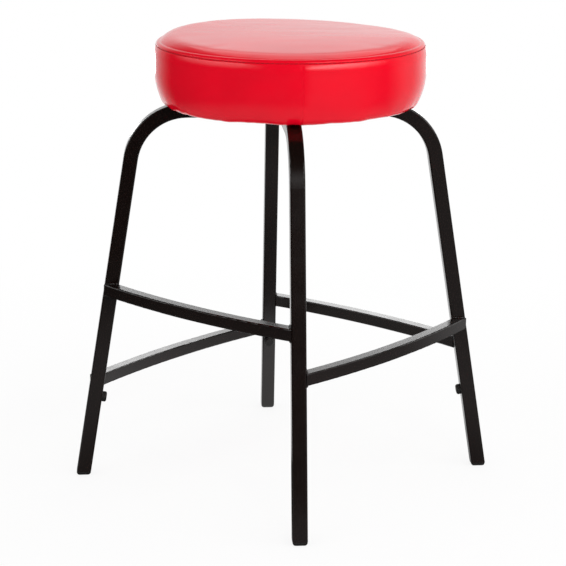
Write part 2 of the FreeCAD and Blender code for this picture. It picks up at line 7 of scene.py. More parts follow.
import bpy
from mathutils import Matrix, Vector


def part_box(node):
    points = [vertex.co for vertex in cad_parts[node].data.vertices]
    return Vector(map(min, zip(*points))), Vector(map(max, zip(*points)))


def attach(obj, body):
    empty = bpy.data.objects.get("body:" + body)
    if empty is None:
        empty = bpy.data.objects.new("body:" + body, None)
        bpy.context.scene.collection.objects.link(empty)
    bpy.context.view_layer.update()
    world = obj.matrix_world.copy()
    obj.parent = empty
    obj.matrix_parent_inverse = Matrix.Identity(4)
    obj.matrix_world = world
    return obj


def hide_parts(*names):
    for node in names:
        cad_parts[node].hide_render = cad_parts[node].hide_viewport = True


bl_info = {
    "name": "Round Padded Stool",
    "version": (1, 0, 0),
    "blender": (4, 5, 0),
    "location": "3D View > Sidebar > Stool",
    "description": "Cushion, frame finish, small parts and studio of a round padded stool",
    "category": "Object",
}

import math

import bmesh
import bpy
import numpy as np
from bpy.props import FloatProperty, FloatVectorProperty, IntProperty, PointerProperty
from mathutils import Matrix, Vector, noise
from mathutils.bvhtree import BVHTree

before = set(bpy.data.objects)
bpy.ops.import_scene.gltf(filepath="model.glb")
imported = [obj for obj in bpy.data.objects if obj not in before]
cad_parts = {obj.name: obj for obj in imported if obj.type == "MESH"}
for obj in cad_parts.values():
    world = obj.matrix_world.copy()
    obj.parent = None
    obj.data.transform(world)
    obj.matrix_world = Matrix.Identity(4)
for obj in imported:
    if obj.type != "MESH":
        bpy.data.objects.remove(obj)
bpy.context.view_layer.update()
MM = 0.001
SAME_PLACE = 1e-6  # points closer than this are one
TINY = 1e-9  # least length that something is divided by

# Seat, as the frame has it
BOARD_LOW, BOARD_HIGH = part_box("seat_board")
BAND_LOW, BAND_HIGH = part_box("cover_band")
SEAT_X = (BOARD_LOW.x + BOARD_HIGH.x) / 2
BOARD_RADIUS = (BOARD_HIGH.x - BOARD_LOW.x) / 2
SEAT_RADIUS = (BAND_HIGH.x - BAND_LOW.x) / 2
TUBE_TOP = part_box("leg_hoop")[1].z
TUBE_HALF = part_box("leg_back")[1].x
CROWN_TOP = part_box("cover_top")[1].z
COVER_GAUGE = BOARD_LOW.z - TUBE_TOP

SIDES = ("right", "back", "left", "front")
RAILS = ("right_back", "back_left", "left_front", "front_right")


# Settings, each with its name, its description and its value

def rgb(name, description, default):
    return FloatVectorProperty(
        name=name, description=description, default=default, min=0, max=1, subtype="COLOR")


def mm(name, description, number):
    return FloatProperty(name=name, description=description, default=number * MM, unit="LENGTH")


def degrees(name, description, number):
    return FloatProperty(
        name=name, description=description, default=math.radians(number), subtype="ANGLE")


def watts(name, description, number):
    return FloatProperty(name=name, description=description, default=number, min=0, unit="POWER")


def fraction(name, description, default):
    return FloatProperty(
        name=name, description=description, default=default, min=0, max=1, subtype="FACTOR")


def strength(name, description, default):
    return FloatProperty(name=name, description=description, default=default, min=0, max=10)


class CushionSettings(bpy.types.PropertyGroup):
    """Sizes and colours of the cushion and its stitching"""

    vinyl_color: rgb("Vinyl", "Colour of the cover", (0.80, 0.0006, 0.015))
    thread_color: rgb("Thread", "Colour of the topstitching", (0.34, 0.003, 0.010))
    crown_inset: mm("Crown Inset", "Edge of the crown's flat middle, in from the widest ring", 27.5)
    crown_drop: mm("Crown Drop", "Fall of the crown from its centre to its edge", 1.2)
    crown_lean: mm("Crown Lean", "How much fuller the crown's back is on the left", 4.6)
    crown_dip: mm("Crown Dip", "How much lower the crown lies towards the front", 4.6)
    seam_inset: mm("Seam Inset", "Crease between top and band, in from the widest ring", 7.7)
    seam_drop: mm("Seam Drop", "Crease below the top of the crown", 9)
    seam_depth: mm("Seam Depth", "How far the crease is drawn in", 0.3)
    stitch_inset: mm("Stitch Inset", "Stitch line, in from the widest ring", 2.5)
    stitch_drop: mm("Stitch Drop", "Stitch line below the top of the crown", 13.5)
    stitch_depth: mm("Stitch Depth", "How far the stitches draw the cover in", 0.7)
    seam_puff: mm("Seam Puff", "How far the band swells out just below the stitches", 1.2)
    stitch_count: IntProperty(
        name="Stitches", description="Stitches in the ring under the seam", default=185, min=24)
    thread_width: mm("Thread Width", "Thickness of the sewing thread", 0.8)
    bulge_height: mm("Bulge Height", "Level of the widest ring above the tubes", 43)
    tuck_radius: mm("Tuck Radius", "Radius with which the band turns under the board", 10)
    tuck_drop: mm("Tuck Drop", "How far the turned edge hangs below the tubes' top", 1.9)
    hem_curl: mm("Hem Curl", "Where the hem begins to lie flat, in from the board's edge", 13)
    hem_width: mm("Hem Width", "How far the hem reaches in under the board", 41)
    pleat_depth: mm("Pleat Depth", "How far the hem's gathers hang at their raw edge", 2.2)
    wrinkles: strength("Band Wrinkles", "Share of the simulated unevenness kept in the band", 1.0)
    crown_wrinkles: strength("Crown Wrinkles", "Share of the simulated unevenness kept on top", 0.2)
    fill: fraction("Fill", "How tightly the cushion is filled", 0.9)


class FrameSettings(bpy.types.PropertyGroup):
    """Finish of the painted tubes, welds, feet and fasteners"""

    paint_color: rgb("Paint", "Colour of the powder coat", (0.0060, 0.0028, 0.0021))
    paint_roughness: fraction("Paint Roughness", "Roughness of the powder coat", 0.20)
    bead_ripple: mm("Bead Ripple", "Height of the ripples on a weld bead", 0.22)
    bead_pitch: mm("Bead Pitch", "Distance from one ripple of a weld to the next", 1.7)
    plastic_color: rgb("Feet", "Colour of the plastic feet", (0.008, 0.007, 0.0065))
    rubber_color: rgb("Buffers", "Colour of the rubber buttons", (0.008, 0.007, 0.0065))
    zinc_color: rgb("Zinc", "Colour of screws, nuts, washers and staples", (0.62, 0.63, 0.65))
    wood_color: rgb("Plywood", "Colour of the board under the seat", (0.56, 0.37, 0.20))


class StudioSettings(bpy.types.PropertyGroup):
    """Camera, lamps, surroundings and floor"""

    lens: FloatProperty(
        name="Lens", description="Focal length of the camera", default=128.28, unit="CAMERA")
    camera_place: FloatVectorProperty(
        name="Camera", description="Where the camera stands", subtype="TRANSLATION",
        default=(-0.2175, -2.6062, 0.9646))
    camera_pan: degrees("Pan", "Turn of the camera about the upright", -4.770)
    camera_tilt: degrees("Tilt", "Tilt of the camera from looking straight down", 75.007)
    camera_roll: degrees("Roll", "Roll of the camera about its own view", 0.304)
    key_power: watts("Key", "Power of the soft lamp at the front right", 34)
    fill_power: watts("Fill", "Power of the soft lamp from the left", 6)
    strip_power: watts("Strip", "Power of the small lamp over the camera", 6.5)
    low_power: watts("Low", "Power of the low strip behind, which skims the rails", 0.9)
    back_power: watts("Back", "Power of the soft lamp high behind", 5)
    sky_strength: strength("Surroundings", "Light that comes evenly from all around", 0.66)
    room_strength: fraction("Room", "Brightness of the dark part of the room in reflections", 0.02)
    wall_strength: fraction("Front Wall", "Brightness of the front right wall in reflections", 0.25)
    side_strength: fraction("Right Wall", "Brightness of the right wall in reflections", 0.5)
    right_window: strength("Right Window", "Brightness of the right patch in reflections", 4.4)
    left_window: strength("Left Window", "Brightness of the left patch in reflections", 2.2)
    near_strength: fraction("Near Floor", "Brightness of the near floor in reflections", 0.34)
    floor_color: rgb("Floor", "Colour of the floor", (0.95, 0.95, 0.95))
    floor_glow: fraction("Floor White", "Share of plain white in the floor as seen", 0.86)


# Shader maths

def arithmetic(operation, swapped=False):
    """Method of a field that adds one Math node."""
    def method(self, *others):
        numbers = (*others, self) if swapped else (self, *others)
        node = self.finish.add("ShaderNodeMath", {"operation": operation}, dict(enumerate(numbers)))
        return Field(self.finish, node.outputs[0])
    return method


class Field:
    """A number that changes over a surface; arithmetic on it adds Math nodes."""

    def __init__(self, finish, socket):
        self.finish = finish
        self.socket = socket

    __add__ = arithmetic("ADD")
    __radd__ = arithmetic("ADD", swapped=True)
    __sub__ = arithmetic("SUBTRACT")
    __rsub__ = arithmetic("SUBTRACT", swapped=True)
    __mul__ = arithmetic("MULTIPLY")
    __rmul__ = arithmetic("MULTIPLY", swapped=True)
    __truediv__ = arithmetic("DIVIDE")
    __pow__ = arithmetic("POWER")
    __mod__ = arithmetic("FLOORED_MODULO")
    __abs__ = arithmetic("ABSOLUTE")
    at_least = arithmetic("MAXIMUM")

    def rise(self, low, high):
        """0 below low, 1 above high and smooth between."""
        node = self.finish.add(
            "ShaderNodeMapRange", {"interpolation_type": "SMOOTHSTEP"},
            {"Value": self, "From Min": low, "From Max": high})
        return Field(self.finish, node.outputs[0])


class Finish:
    """Node tree of one material, lamp or background."""

    def __init__(self, tree):
        self.tree = tree

    def add(self, kind, settings=None, inputs=None):
        """Add a node, set it up, then fill its sockets with numbers, colours or links."""
        node = self.tree.nodes.new(kind)
        for name, value in (settings or {}).items():
            setattr(node, name, value)
        for name, value in (inputs or {}).items():
            self.put(node.inputs[name], value)
        return node

    def put(self, socket, value):
        """Link a field or another socket to this one, or set it."""
        if isinstance(value, Field):
            self.tree.links.new(value.socket, socket)
        elif isinstance(value, bpy.types.NodeSocket):
            self.tree.links.new(value, socket)
        elif hasattr(value, "__len__") and len(value) == 3 and socket.type == "RGBA":
            socket.default_value = (*value, 1)
        else:
            socket.default_value = value

    def rays(self, *kinds):
        """1 for each of some kinds of ray and 0 for other rays."""
        outputs = self.add("ShaderNodeLightPath").outputs
        return [Field(self, outputs[f"Is {kind} Ray"]) for kind in kinds]

    def place(self):
        """Position on the object, in metres."""
        return self.add("ShaderNodeTexCoord").outputs["Object"]

    def split(self, vector):
        """X, Y and Z of a vector as three fields."""
        node = self.add("ShaderNodeSeparateXYZ", inputs={"Vector": vector})
        return [Field(self, part) for part in node.outputs]

    def stretched(self, scale):
        """Position on the object, scaled by another factor along each axis."""
        node = self.add("ShaderNodeMapping", inputs={"Vector": self.place(), "Scale": scale})
        return node.outputs["Vector"]

    def cloud(self, scale, detail=2.0, roughness=0.5, vector=None):
        """Smooth noise from 0 to 1, at so many grains to the metre."""
        node = self.add("ShaderNodeTexNoise", inputs={
            "Vector": vector or self.place(), "Scale": scale, "Detail": detail,
            "Roughness": roughness})
        return Field(self, node.outputs["Fac"])

    def cells(self, scale, feature="F1", vector=None):
        """Distance within the cells of a pebbled pattern."""
        node = self.add("ShaderNodeTexVoronoi", {"feature": feature}, {
            "Vector": vector or self.place(), "Scale": scale})
        return Field(self, node.outputs["Distance"])

    def blend(self, share, first, second):
        """Colour between two others."""
        node = self.add("ShaderNodeMix", {"data_type": "RGBA"}, {0: share, 6: first, 7: second})
        return node.outputs[2]

    def relief(self, height, distance, strength=1.0):
        """Normal of a surface raised by a height field."""
        node = self.add("ShaderNodeBump", inputs={
            "Height": height, "Distance": distance, "Strength": strength})
        return node.outputs["Normal"]


def surface(constants=None):
    """Turn a function that fills a shader's changing sockets into one that makes the material."""
    def wrap(build):
        def make(name, *settings):
            material = bpy.data.materials.new(name)
            material.use_nodes = True
            finish = Finish(material.node_tree)
            shader = material.node_tree.nodes["Principled BSDF"]
            for socket, value in {**(constants or {}), **build(finish, *settings)}.items():
                finish.put(shader.inputs[socket], value)
            return material
        return make
    return wrap


def shade(color, factor):
    """Lighter or darker colour."""
    return tuple(min(1.0, channel * factor) for channel in color)


@surface()
def vinyl_finish(finish, color):
    """Soft upholstery vinyl: fine pebbled grain under a satin top coat."""
    tone = finish.cloud(9, 2)
    grain = finish.cells(1100, "SMOOTH_F1")
    creases = finish.cloud(420, 3, 0.6)
    return {
        "Base Color": finish.blend(tone.rise(0.3, 0.7), shade(color, 0.93), shade(color, 1.04)),
        "Roughness": 0.11 + finish.cloud(60, 2) * 0.06,
        "Normal": finish.relief(grain * 0.7 + creases * 0.5, 0.05 * MM, 0.35),
    }


@surface({"Roughness": 0.92, "Specular IOR Level": 0.15})
def backing_finish(finish):
    """Pale knitted backing, seen on the cover's raw edge."""
    knit = finish.cells(1500)
    return {
        "Base Color": finish.blend(knit, (0.52, 0.49, 0.45), (0.72, 0.69, 0.64)),
        "Normal": finish.relief(knit, 0.2 * MM, 0.6),
    }


@surface({"Roughness": 0.95, "Specular IOR Level": 0.1})
def foam_finish(finish):
    """Open-celled cushion foam, seen through the board's vent holes."""
    pores = finish.cells(900)
    return {
        "Base Color": finish.blend(pores, (0.50, 0.38, 0.16), (0.78, 0.66, 0.38)),
        "Normal": finish.relief(pores, 0.6 * MM, 0.8),
    }


@surface({"Roughness": 0.62, "Specular IOR Level": 0.3})
def thread_finish(finish, color):
    """Bonded sewing thread with its ply twist."""
    strands = finish.cloud(2600, 2)
    return {
        "Base Color": finish.blend(strands.rise(0.35, 0.65), shade(color, 0.6), shade(color, 1.3)),
        "Normal": finish.relief(strands, 0.1 * MM, 0.6),
    }


@surface()
def paint_finish(finish, color, roughness):
    """Black powder coat: a faint orange peel and slow changes of gloss."""
    peel = finish.cloud(520, 2, 0.45)
    drift = finish.cloud(14, 2)
    specks = finish.cells(2400)
    return {
        "Base Color": finish.blend(drift, shade(color, 0.85), shade(color, 1.25)),
        "Roughness": roughness - 0.05 + finish.cloud(38, 3) * 0.1,
        "Normal": finish.relief(peel + specks * 0.15, 0.06 * MM, 0.3),
    }


@surface()
def plastic_finish(finish, color):
    """Moulded plastic feet, scuffed grey where they meet the floor."""
    height = finish.split(finish.place())[2]
    scuffs = finish.cloud(650, 3, 0.65, finish.stretched((1, 0.25, 1)))
    worn = (1 - height.rise(0.3 * MM, 1.6 * MM)) * scuffs.rise(0.45, 0.62)
    spark = finish.cells(2600)
    return {
        "Base Color": finish.blend(worn * 0.4, color, (0.05, 0.048, 0.046)),
        "Roughness": 0.4 + worn * 0.3,
        "Normal": finish.relief(spark - worn * 0.5, 0.05 * MM, 0.5),
    }


@surface()
def rubber_finish(finish, color):
    """Matt rubber of the buttons on the legs."""
    bloom = finish.cloud(240, 3)
    return {
        "Base Color": finish.blend(bloom.rise(0.4, 0.75), color, shade(color, 2.2)),
        "Roughness": 0.55 + bloom * 0.2,
        "Normal": finish.relief(finish.cloud(1500, 2), 0.05 * MM, 0.5),
    }


@surface({"Metallic": 1.0})
def zinc_finish(finish, color, roughness):
    """Zinc plate: a bright metal with faint drawing lines and cloudy patches."""
    patches = finish.cloud(320, 3, 0.6)
    lines = finish.cloud(2200, 1)
    return {
        "Base Color": finish.blend(patches, shade(color, 0.78), color),
        "Roughness": roughness + patches * 0.16,
        "Normal": finish.relief(lines, 0.02 * MM, 0.5),
    }


@surface({"Specular IOR Level": 0.35})
def plywood_finish(finish, color):
    """Birch plywood: long grain on the faces and stacked plies on every cut edge."""
    plies, dark = 7, shade(color, 0.62)
    low, thick = BOARD_LOW.z, BOARD_HIGH.z - BOARD_LOW.z
    height = finish.split(finish.place())[2]
    grain = finish.cloud(1, 4, 0.62, finish.stretched((9, 190, 60)))
    pores = finish.cloud(1, 2, 0.5, finish.stretched((60, 1400, 400)))
    stack = ((height - low) / (thick / plies)) % 2.0
    cross_ply = stack.rise(0.95, 1.05) * (1 - stack.rise(1.9, 2.0))
    normal = finish.split(finish.add("ShaderNodeNewGeometry").outputs["Normal"])
    edge = 1 - abs(normal[2]).rise(0.3, 0.7)
    face = grain.rise(0.3, 0.72) * 0.8 + pores.rise(0.55, 0.75) * 0.2
    share = face * (1 - edge) + edge * (cross_ply * 0.75 + pores * 0.25)
    return {
        "Base Color": finish.blend(share, color, dark),
        "Roughness": 0.62 + grain * 0.15,
        "Normal": finish.relief(pores * 0.4 + grain * 0.6, 0.12 * MM, 0.5),
    }


# Mesh work

def add_piece(name, points, faces, materials, smooth=True):
    """New object from points and faces, at the frame's own origin."""
    mesh = bpy.data.meshes.new(name)
    corners = [tuple(map(int, face)) for face in faces]
    mesh.from_pydata([tuple(point) for point in points], [], corners)
    mesh.validate()
    mesh.polygons.foreach_set("use_smooth", [smooth] * len(mesh.polygons))
    for material in materials:
        mesh.materials.append(material)
    piece = bpy.data.objects.new(name, mesh)
    bpy.context.scene.collection.objects.link(piece)
    return piece


def points_of(mesh):
    """Points of a mesh as one array."""
    flat = np.empty(len(mesh.vertices) * 3)
    mesh.vertices.foreach_get("co", flat)
    return flat.reshape(-1, 3)


def move_points(mesh, points):
    """Put the points of a mesh at new places."""
    mesh.vertices.foreach_set("co", np.asarray(points, float).ravel())
    mesh.update()


def ring_faces(upper, lower):
    """Quads between two closed rows of vertex numbers."""
    return np.stack([upper, lower, np.roll(lower, -1), np.roll(upper, -1)], axis=1)


def tube(rows):
    """Closed tube through rows of points."""
    count = len(rows[0])
    numbers = [np.arange(count) + row * count for row in range(len(rows))]
    faces = [numbers[0].tolist(), numbers[-1][::-1].tolist()]
    for upper, lower in zip(numbers, numbers[1:]):
        faces += ring_faces(upper, lower).tolist()
    return [point for row in rows for point in row], faces


def sweep(path, outline, frames):
    """Tube of a flat outline carried along a path, with (side, up) directions at each point."""
    return tube([[spot + side * x + up * y for x, y in outline]
                 for spot, (side, up) in zip(path, frames)])


def section(half_width, half_height, count, power=1):
    """Outline of a wire: round at power 1, squarer below it."""
    turns = np.linspace(0, 2 * math.pi, count, endpoint=False)
    return [(half_width * math.copysign(abs(math.cos(turn)) ** power, math.cos(turn)),
             half_height * math.copysign(abs(math.sin(turn)) ** power, math.sin(turn)))
            for turn in turns]


def gather(parts):
    """Join lists of (points, faces) into one."""
    points, faces = [], []
    for some_points, some_faces in parts:
        start = len(points)
        points += list(some_points)
        faces += [[number + start for number in face] for face in some_faces]
    return points, faces


def loose_parts(node):
    """Corner points of each separate solid in a frame node."""
    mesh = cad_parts[node].data
    bm = bmesh.new()
    bm.from_mesh(mesh)
    bmesh.ops.remove_doubles(bm, verts=bm.verts, dist=SAME_PLACE)
    left, parts = set(bm.verts), []
    while left:
        part, edge = set(), [next(iter(left))]
        while edge:
            vertex = edge.pop()
            if vertex not in part:
                part.add(vertex)
                edge += [link.other_vert(vertex) for link in vertex.link_edges]
        left -= part
        parts.append(sorted(tuple(vertex.co) for vertex in part))
    bm.free()
    return [np.array(part) for part in sorted(parts)]


def ride(piece, nodes=()):
    """Fasten a piece to the stool and hide the frame nodes that it stands in for."""
    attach(piece, "root")
    if nodes:
        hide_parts(*nodes)


def paint_nodes(names, material):
    """Give frame nodes their finish; their shapes stay."""
    for name in names:
        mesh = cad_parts[name].data
        mesh.materials.clear()
        mesh.materials.append(material)


# Cushion

GRID = 28  # cells from the middle of the top panel to its edge
COLUMNS = 8 * GRID
CELL = 5 * MM
RIM_CELLS = (10 * MM, 6 * MM, 3 * MM, 1.2 * MM)  # rings just inside the seam, in from it
FIRST_RING = 0.5 * MM  # first ring of the band, down from the seam
STITCH_RINGS = (-5.2, -3.6, -2.2, -1.2, -0.5, 0, 0.5, 1.2, 2.2, 3.8, 6.2)  # mm from the stitches
LID_RINGS = (1, 0.7, 0.35, 0.08)  # rings over the board, as shares of its radius
LID_PLACE = 10 * MM  # step that tells the rings past the hem apart
WELL_INSIDE = 1.0  # place of the rings far in from the seam
VINYL, BACKING, FOAM = range(3)  # the cushion's materials
BACKING_ROWS = 3  # rows past the hem's raw edge that show the cover's back
HARD_ROWS = 5  # rows from the hem's raw edge up that keep their corners

SIM_FRAMES = 20
FLAT_ROWS = 6  # hem rows that the board and the tubes hold
GRIPPED_ROWS = 9  # rows above them where the staples' grip fades
STAPLE_GRIP = 16 * MM
SEWN_BELOW = 3 * MM  # how far below the stitches the cover is held
CALM_ROUNDS = 6
MOST_MOVED = 6 * MM

JOIN_COLUMNS = 8  # columns that close up to the join, on each side
JOIN_CLOSING = 1.8
JOIN_STEP = 0.4 * MM  # height of the band's outer end over the inner one
JOIN_GROOVE = 0.08 * MM
JOIN_WIDTH = 1.0 * MM
CREASE_WIDTH = 1.1 * MM
GROOVE_WIDTH = 0.8 * MM
PUFF_DROP = 9 * MM  # middle of the swelling under the stitches
STITCH_PUCKER = 0.16 * MM
BAND_WAVE = 0.30 * MM
CROWN_STREAK = 0.17 * MM
LEAN_SPAN = (-0.3, 0.9)  # where the crown's lean comes in, towards the back, in seat radii
LEAN_EDGE, DIP_EDGE = 40, 30  # powers with which lean and dip fade out at the seam
EDGE_SAG = 1.3 * MM
EDGE_PUCKER = 0.45 * MM
EDGE_DROP = 0.1 * MM
EDGE_SIDEWAYS = 0.3  # share of the sag that also goes outward
GATHERS = 36  # half-waves of the hem in one radian


def arc_run(start, heading, end, count=40):
    """Points of the arc that leaves start along a heading and ends at end, and its last heading."""
    start, heading, end = (np.array(item, float) for item in (start, heading, end))
    chord = end - start
    across = np.array([-heading[1], heading[0]])
    radius = chord @ chord / (2 * (chord @ across))
    centre = start + across * radius
    turn = 2 * math.atan2(chord @ across, chord @ heading)
    arm = start - centre
    angles = np.linspace(0, turn, count)
    points = centre + np.stack([
        arm[0] * np.cos(angles) - arm[1] * np.sin(angles),
        arm[0] * np.sin(angles) + arm[1] * np.cos(angles)], axis=1)
    unit = chord / np.linalg.norm(chord)
    return points, 2 * (heading @ unit) * unit - heading


def top_profile(sizes):
    """Crown and shoulder, from the middle out to the seam, as (out, up) points."""
    rise = CROWN_TOP - TUBE_TOP
    edge = (SEAT_RADIUS - sizes.crown_inset, rise - sizes.crown_drop)
    crown, heading = arc_run((0, rise), (1, 0), edge)
    seam = (SEAT_RADIUS - sizes.seam_inset, rise - sizes.seam_drop)
    shoulder, _ = arc_run(edge, heading, seam)
    return np.vstack([crown, shoulder[1:]])


def band_profile(sizes):
    """Roll, wall, side, tuck and hem, from the seam down to the hem's raw edge."""
    rise = CROWN_TOP - TUBE_TOP
    bulge = (SEAT_RADIUS, sizes.bulge_height)
    stitch = (SEAT_RADIUS - sizes.stitch_inset, rise - sizes.stitch_drop)
    seam = (SEAT_RADIUS - sizes.seam_inset, rise - sizes.seam_drop)
    wall, heading = arc_run(bulge, (0, 1), stitch)
    roll, _ = arc_run(stitch, heading, seam)
    inset, small = SEAT_RADIUS - BOARD_RADIUS, sizes.tuck_radius
    drop = sizes.bulge_height + sizes.tuck_drop
    large = (inset ** 2 + drop ** 2 - 2 * drop * small) / (2 * (inset - small))
    lean = math.atan2(drop - small, large - inset)
    turn = (SEAT_RADIUS - large * (1 - math.cos(lean)), sizes.bulge_height - large * math.sin(lean))
    tuck = (BOARD_RADIUS, -sizes.tuck_drop)
    side, heading = arc_run(bulge, (0, -1), turn)
    under, _ = arc_run(turn, heading, tuck)
    hem = [(BOARD_RADIUS - sizes.hem_curl, 0), (BOARD_RADIUS - sizes.hem_width, 0)]
    return np.vstack([roll[::-1], wall[::-1][1:], side[1:], under[1:], hem])


class Path:
    """A profile measured along its own length."""

    def __init__(self, points):
        self.points = points
        steps = np.linalg.norm(np.diff(points, axis=0), axis=1)
        self.along = np.concatenate([[0], np.cumsum(steps)])
        self.length = self.along[-1]

    def at(self, distance):
        """Points at some distances along the profile."""
        columns = [np.interp(distance, self.along, self.points[:, axis]) for axis in (0, 1)]
        return np.stack(columns, axis=-1)

    def nearest(self, point):
        """Distance along the profile of the place nearest to a point."""
        return self.along[np.argmin(np.linalg.norm(self.points - point, axis=1))]


def cushion_grid(sizes):
    """Points of the closed cushion, its faces, each point's row, and the rows' places."""
    top, band = Path(top_profile(sizes)), Path(band_profile(sizes))
    seam_radius = SEAT_RADIUS - sizes.seam_inset
    flat_count = GRID - len(RIM_CELLS)
    flat = np.linspace(0, seam_radius - RIM_CELLS[0], flat_count + 1)
    radii = np.concatenate([flat, seam_radius - np.array(RIM_CELLS[1:]), [seam_radius]])
    heights = np.interp(radii, top.points[:, 0], top.points[:, 1])
    points, rows, number = [], [], {}
    for i in range(-GRID, GRID + 1):
        for j in range(-GRID, GRID + 1):
            row = max(abs(i), abs(j))
            angle = grid_angle(i, j)
            number[i, j] = len(points)
            out = radii[row]
            points.append((out * math.cos(angle), out * math.sin(angle), heights[row]))
            rows.append(row)
    faces = [[number[i, j], number[i + 1, j], number[i + 1, j + 1], number[i, j + 1]]
             for i in range(-GRID, GRID) for j in range(-GRID, GRID)]
    rim = sorted((cell for cell in number if max(map(abs, cell)) == GRID),
                 key=lambda cell: grid_angle(*cell) % (2 * math.pi))
    last = np.array([number[cell] for cell in rim])
    angles = np.array([grid_angle(*cell) for cell in rim])

    stitch = band.nearest(
        (SEAT_RADIUS - sizes.stitch_inset, CROWN_TOP - TUBE_TOP - sizes.stitch_drop))
    fine = np.array(STITCH_RINGS) * MM + stitch
    fine = fine[fine > FIRST_RING + 0.1 * MM]
    count = round((band.length - fine[-1]) / CELL)
    coarse = np.linspace(fine[-1], band.length, count + 1)[1:]
    stations = np.concatenate([[FIRST_RING], fine, coarse])
    pocket = [(BOARD_RADIUS - inset, COVER_GAUGE) for inset in (sizes.hem_width, sizes.hem_curl, 0)]
    pocket += [(BOARD_RADIUS * share, BOARD_HIGH.z - TUBE_TOP) for share in LID_RINGS]
    ladder = list(band.at(stations)) + [np.array(corner) for corner in pocket]
    for step, (out, up) in enumerate(ladder, GRID + 1):
        row = np.arange(COLUMNS) + len(points)
        points += [(out * math.cos(angle), out * math.sin(angle), up) for angle in angles]
        rows += [step] * COLUMNS
        faces += ring_faces(last, row).tolist()
        last = row
    faces.append(last.tolist())
    points = np.array(points) + (SEAT_X, 0, TUBE_TOP)
    return points, faces, np.array(rows), stations, stitch


def grid_angle(i, j):
    """Direction of a cell of the square grid once the grid is drawn out to a disc."""
    if i == 0 and j == 0:
        return 0.0
    if abs(i) >= abs(j):
        return math.pi / 4 * j / i + (math.pi if i < 0 else 0)
    return math.pi / 2 - math.pi / 4 * i / j + (math.pi if j < 0 else 0)


def staple_spots():
    """Centres of the frame's staples, as (x, y)."""
    return np.array([part[:, :2].mean(axis=0) for part in loose_parts("cover_staples")])


def fill_cushion(piece, rows, hem_row, pinned_rows):
    """Let the cover swell between its seams and staples, and return how far each point moved."""
    mesh = piece.data
    start = points_of(mesh)
    group = piece.vertex_groups.new(name="sewn")
    staples = staple_spots()
    gaps = np.linalg.norm(start[:, None, :2] - staples[None], axis=2).min(axis=1)
    for number, row in enumerate(rows):
        if row in pinned_rows or row > hem_row:
            group.add([number], 1.0, "REPLACE")
        elif row > hem_row - GRIPPED_ROWS:
            group.add([number], float(bell(gaps[number], STAPLE_GRIP)), "REPLACE")
    cloth = piece.modifiers.new("cover", "CLOTH")
    cloth.settings.quality = 6
    cloth.settings.mass = 0.3
    cloth.settings.use_pressure = True
    cloth.settings.uniform_pressure_force = 4
    cloth.settings.shrink_min = -0.006
    cloth.settings.bending_stiffness = 1.0
    cloth.settings.vertex_group_mass = group.name
    cloth.settings.effector_weights.gravity = 0
    cloth.collision_settings.use_collision = False
    scene = bpy.context.scene
    cloth.point_cache.frame_start = 1
    cloth.point_cache.frame_end = SIM_FRAMES
    for step in range(1, SIM_FRAMES + 1):
        scene.frame_set(step)
    evaluated = piece.evaluated_get(bpy.context.evaluated_depsgraph_get())
    end = points_of(evaluated.data).copy()
    piece.modifiers.remove(cloth)
    piece.vertex_groups.clear()
    scene.frame_set(1)
    return end - start


def calm(mesh, moved, rounds):
    """Spread a movement over each point's neighbours, which leaves the long wrinkles."""
    ends = np.empty(len(mesh.edges) * 2, int)
    mesh.edges.foreach_get("vertices", ends)
    first, second = ends.reshape(-1, 2).T
    count = np.bincount(ends, minlength=len(moved))[:, None]
    for _ in range(rounds):
        total = np.zeros_like(moved)
        np.add.at(total, first, moved[second])
        np.add.at(total, second, moved[first])
        moved = (moved + total / count) / 2
    return moved


def keep_size(points, moved, rows, most):
    """Take each row's common growth out of a movement, so that the measured profile stays."""
    out = points[:, :2] - (SEAT_X, 0)
    reach = np.maximum(np.linalg.norm(out, axis=1, keepdims=True), TINY)
    out = out / reach
    outward = (moved[:, :2] * out).sum(axis=1)
    kept = moved.copy()
    for row in range(rows.max() + 1):
        here = rows == row
        kept[here, :2] -= out[here] * outward[here].mean()
        kept[here, 2] -= moved[here, 2].mean()
    size = np.maximum(np.linalg.norm(kept, axis=1, keepdims=True), TINY)
    return kept * np.minimum(1, most / size)


def waves(points, size, seed):
    """Smooth unevenness from -1 to 1 at a given size, the same on each run."""
    offset = Vector((seed * 7.3, seed * 3.1, seed * 5.7))
    return np.array([noise.noise(Vector(point) / size + offset) for point in points])


def around(angle, size, seed):
    """The same unevenness for a direction, all down the band."""
    rim = np.stack([np.cos(angle), np.sin(angle), angle * 0], 1) * SEAT_RADIUS
    return waves(rim, size, seed)


def bell(distance, width):
    """1 at no distance, falling away over a width."""
    return np.exp(-(distance / width) ** 2)


def slope(value, low, high):
    """0 below low, 1 above high and smooth between."""
    share = np.clip((value - low) / (high - low), 0, 1)
    return share * share * (3 - 2 * share)


def lift_crown(points, sizes):
    """Height that a fuller back left and a lower front add to the crown."""
    x, y = (points[:, 0] - SEAT_X) / SEAT_RADIUS, points[:, 1] / SEAT_RADIUS
    reach = np.clip(np.hypot(x, y) * SEAT_RADIUS / (SEAT_RADIUS - sizes.seam_inset), 0, 1)
    lean = -sizes.crown_lean * x * slope(y, *LEAN_SPAN) * (1 - reach ** LEAN_EDGE)
    return lean - sizes.crown_dip * np.minimum(y, 0) ** 2 * (1 - reach ** DIP_EDGE)


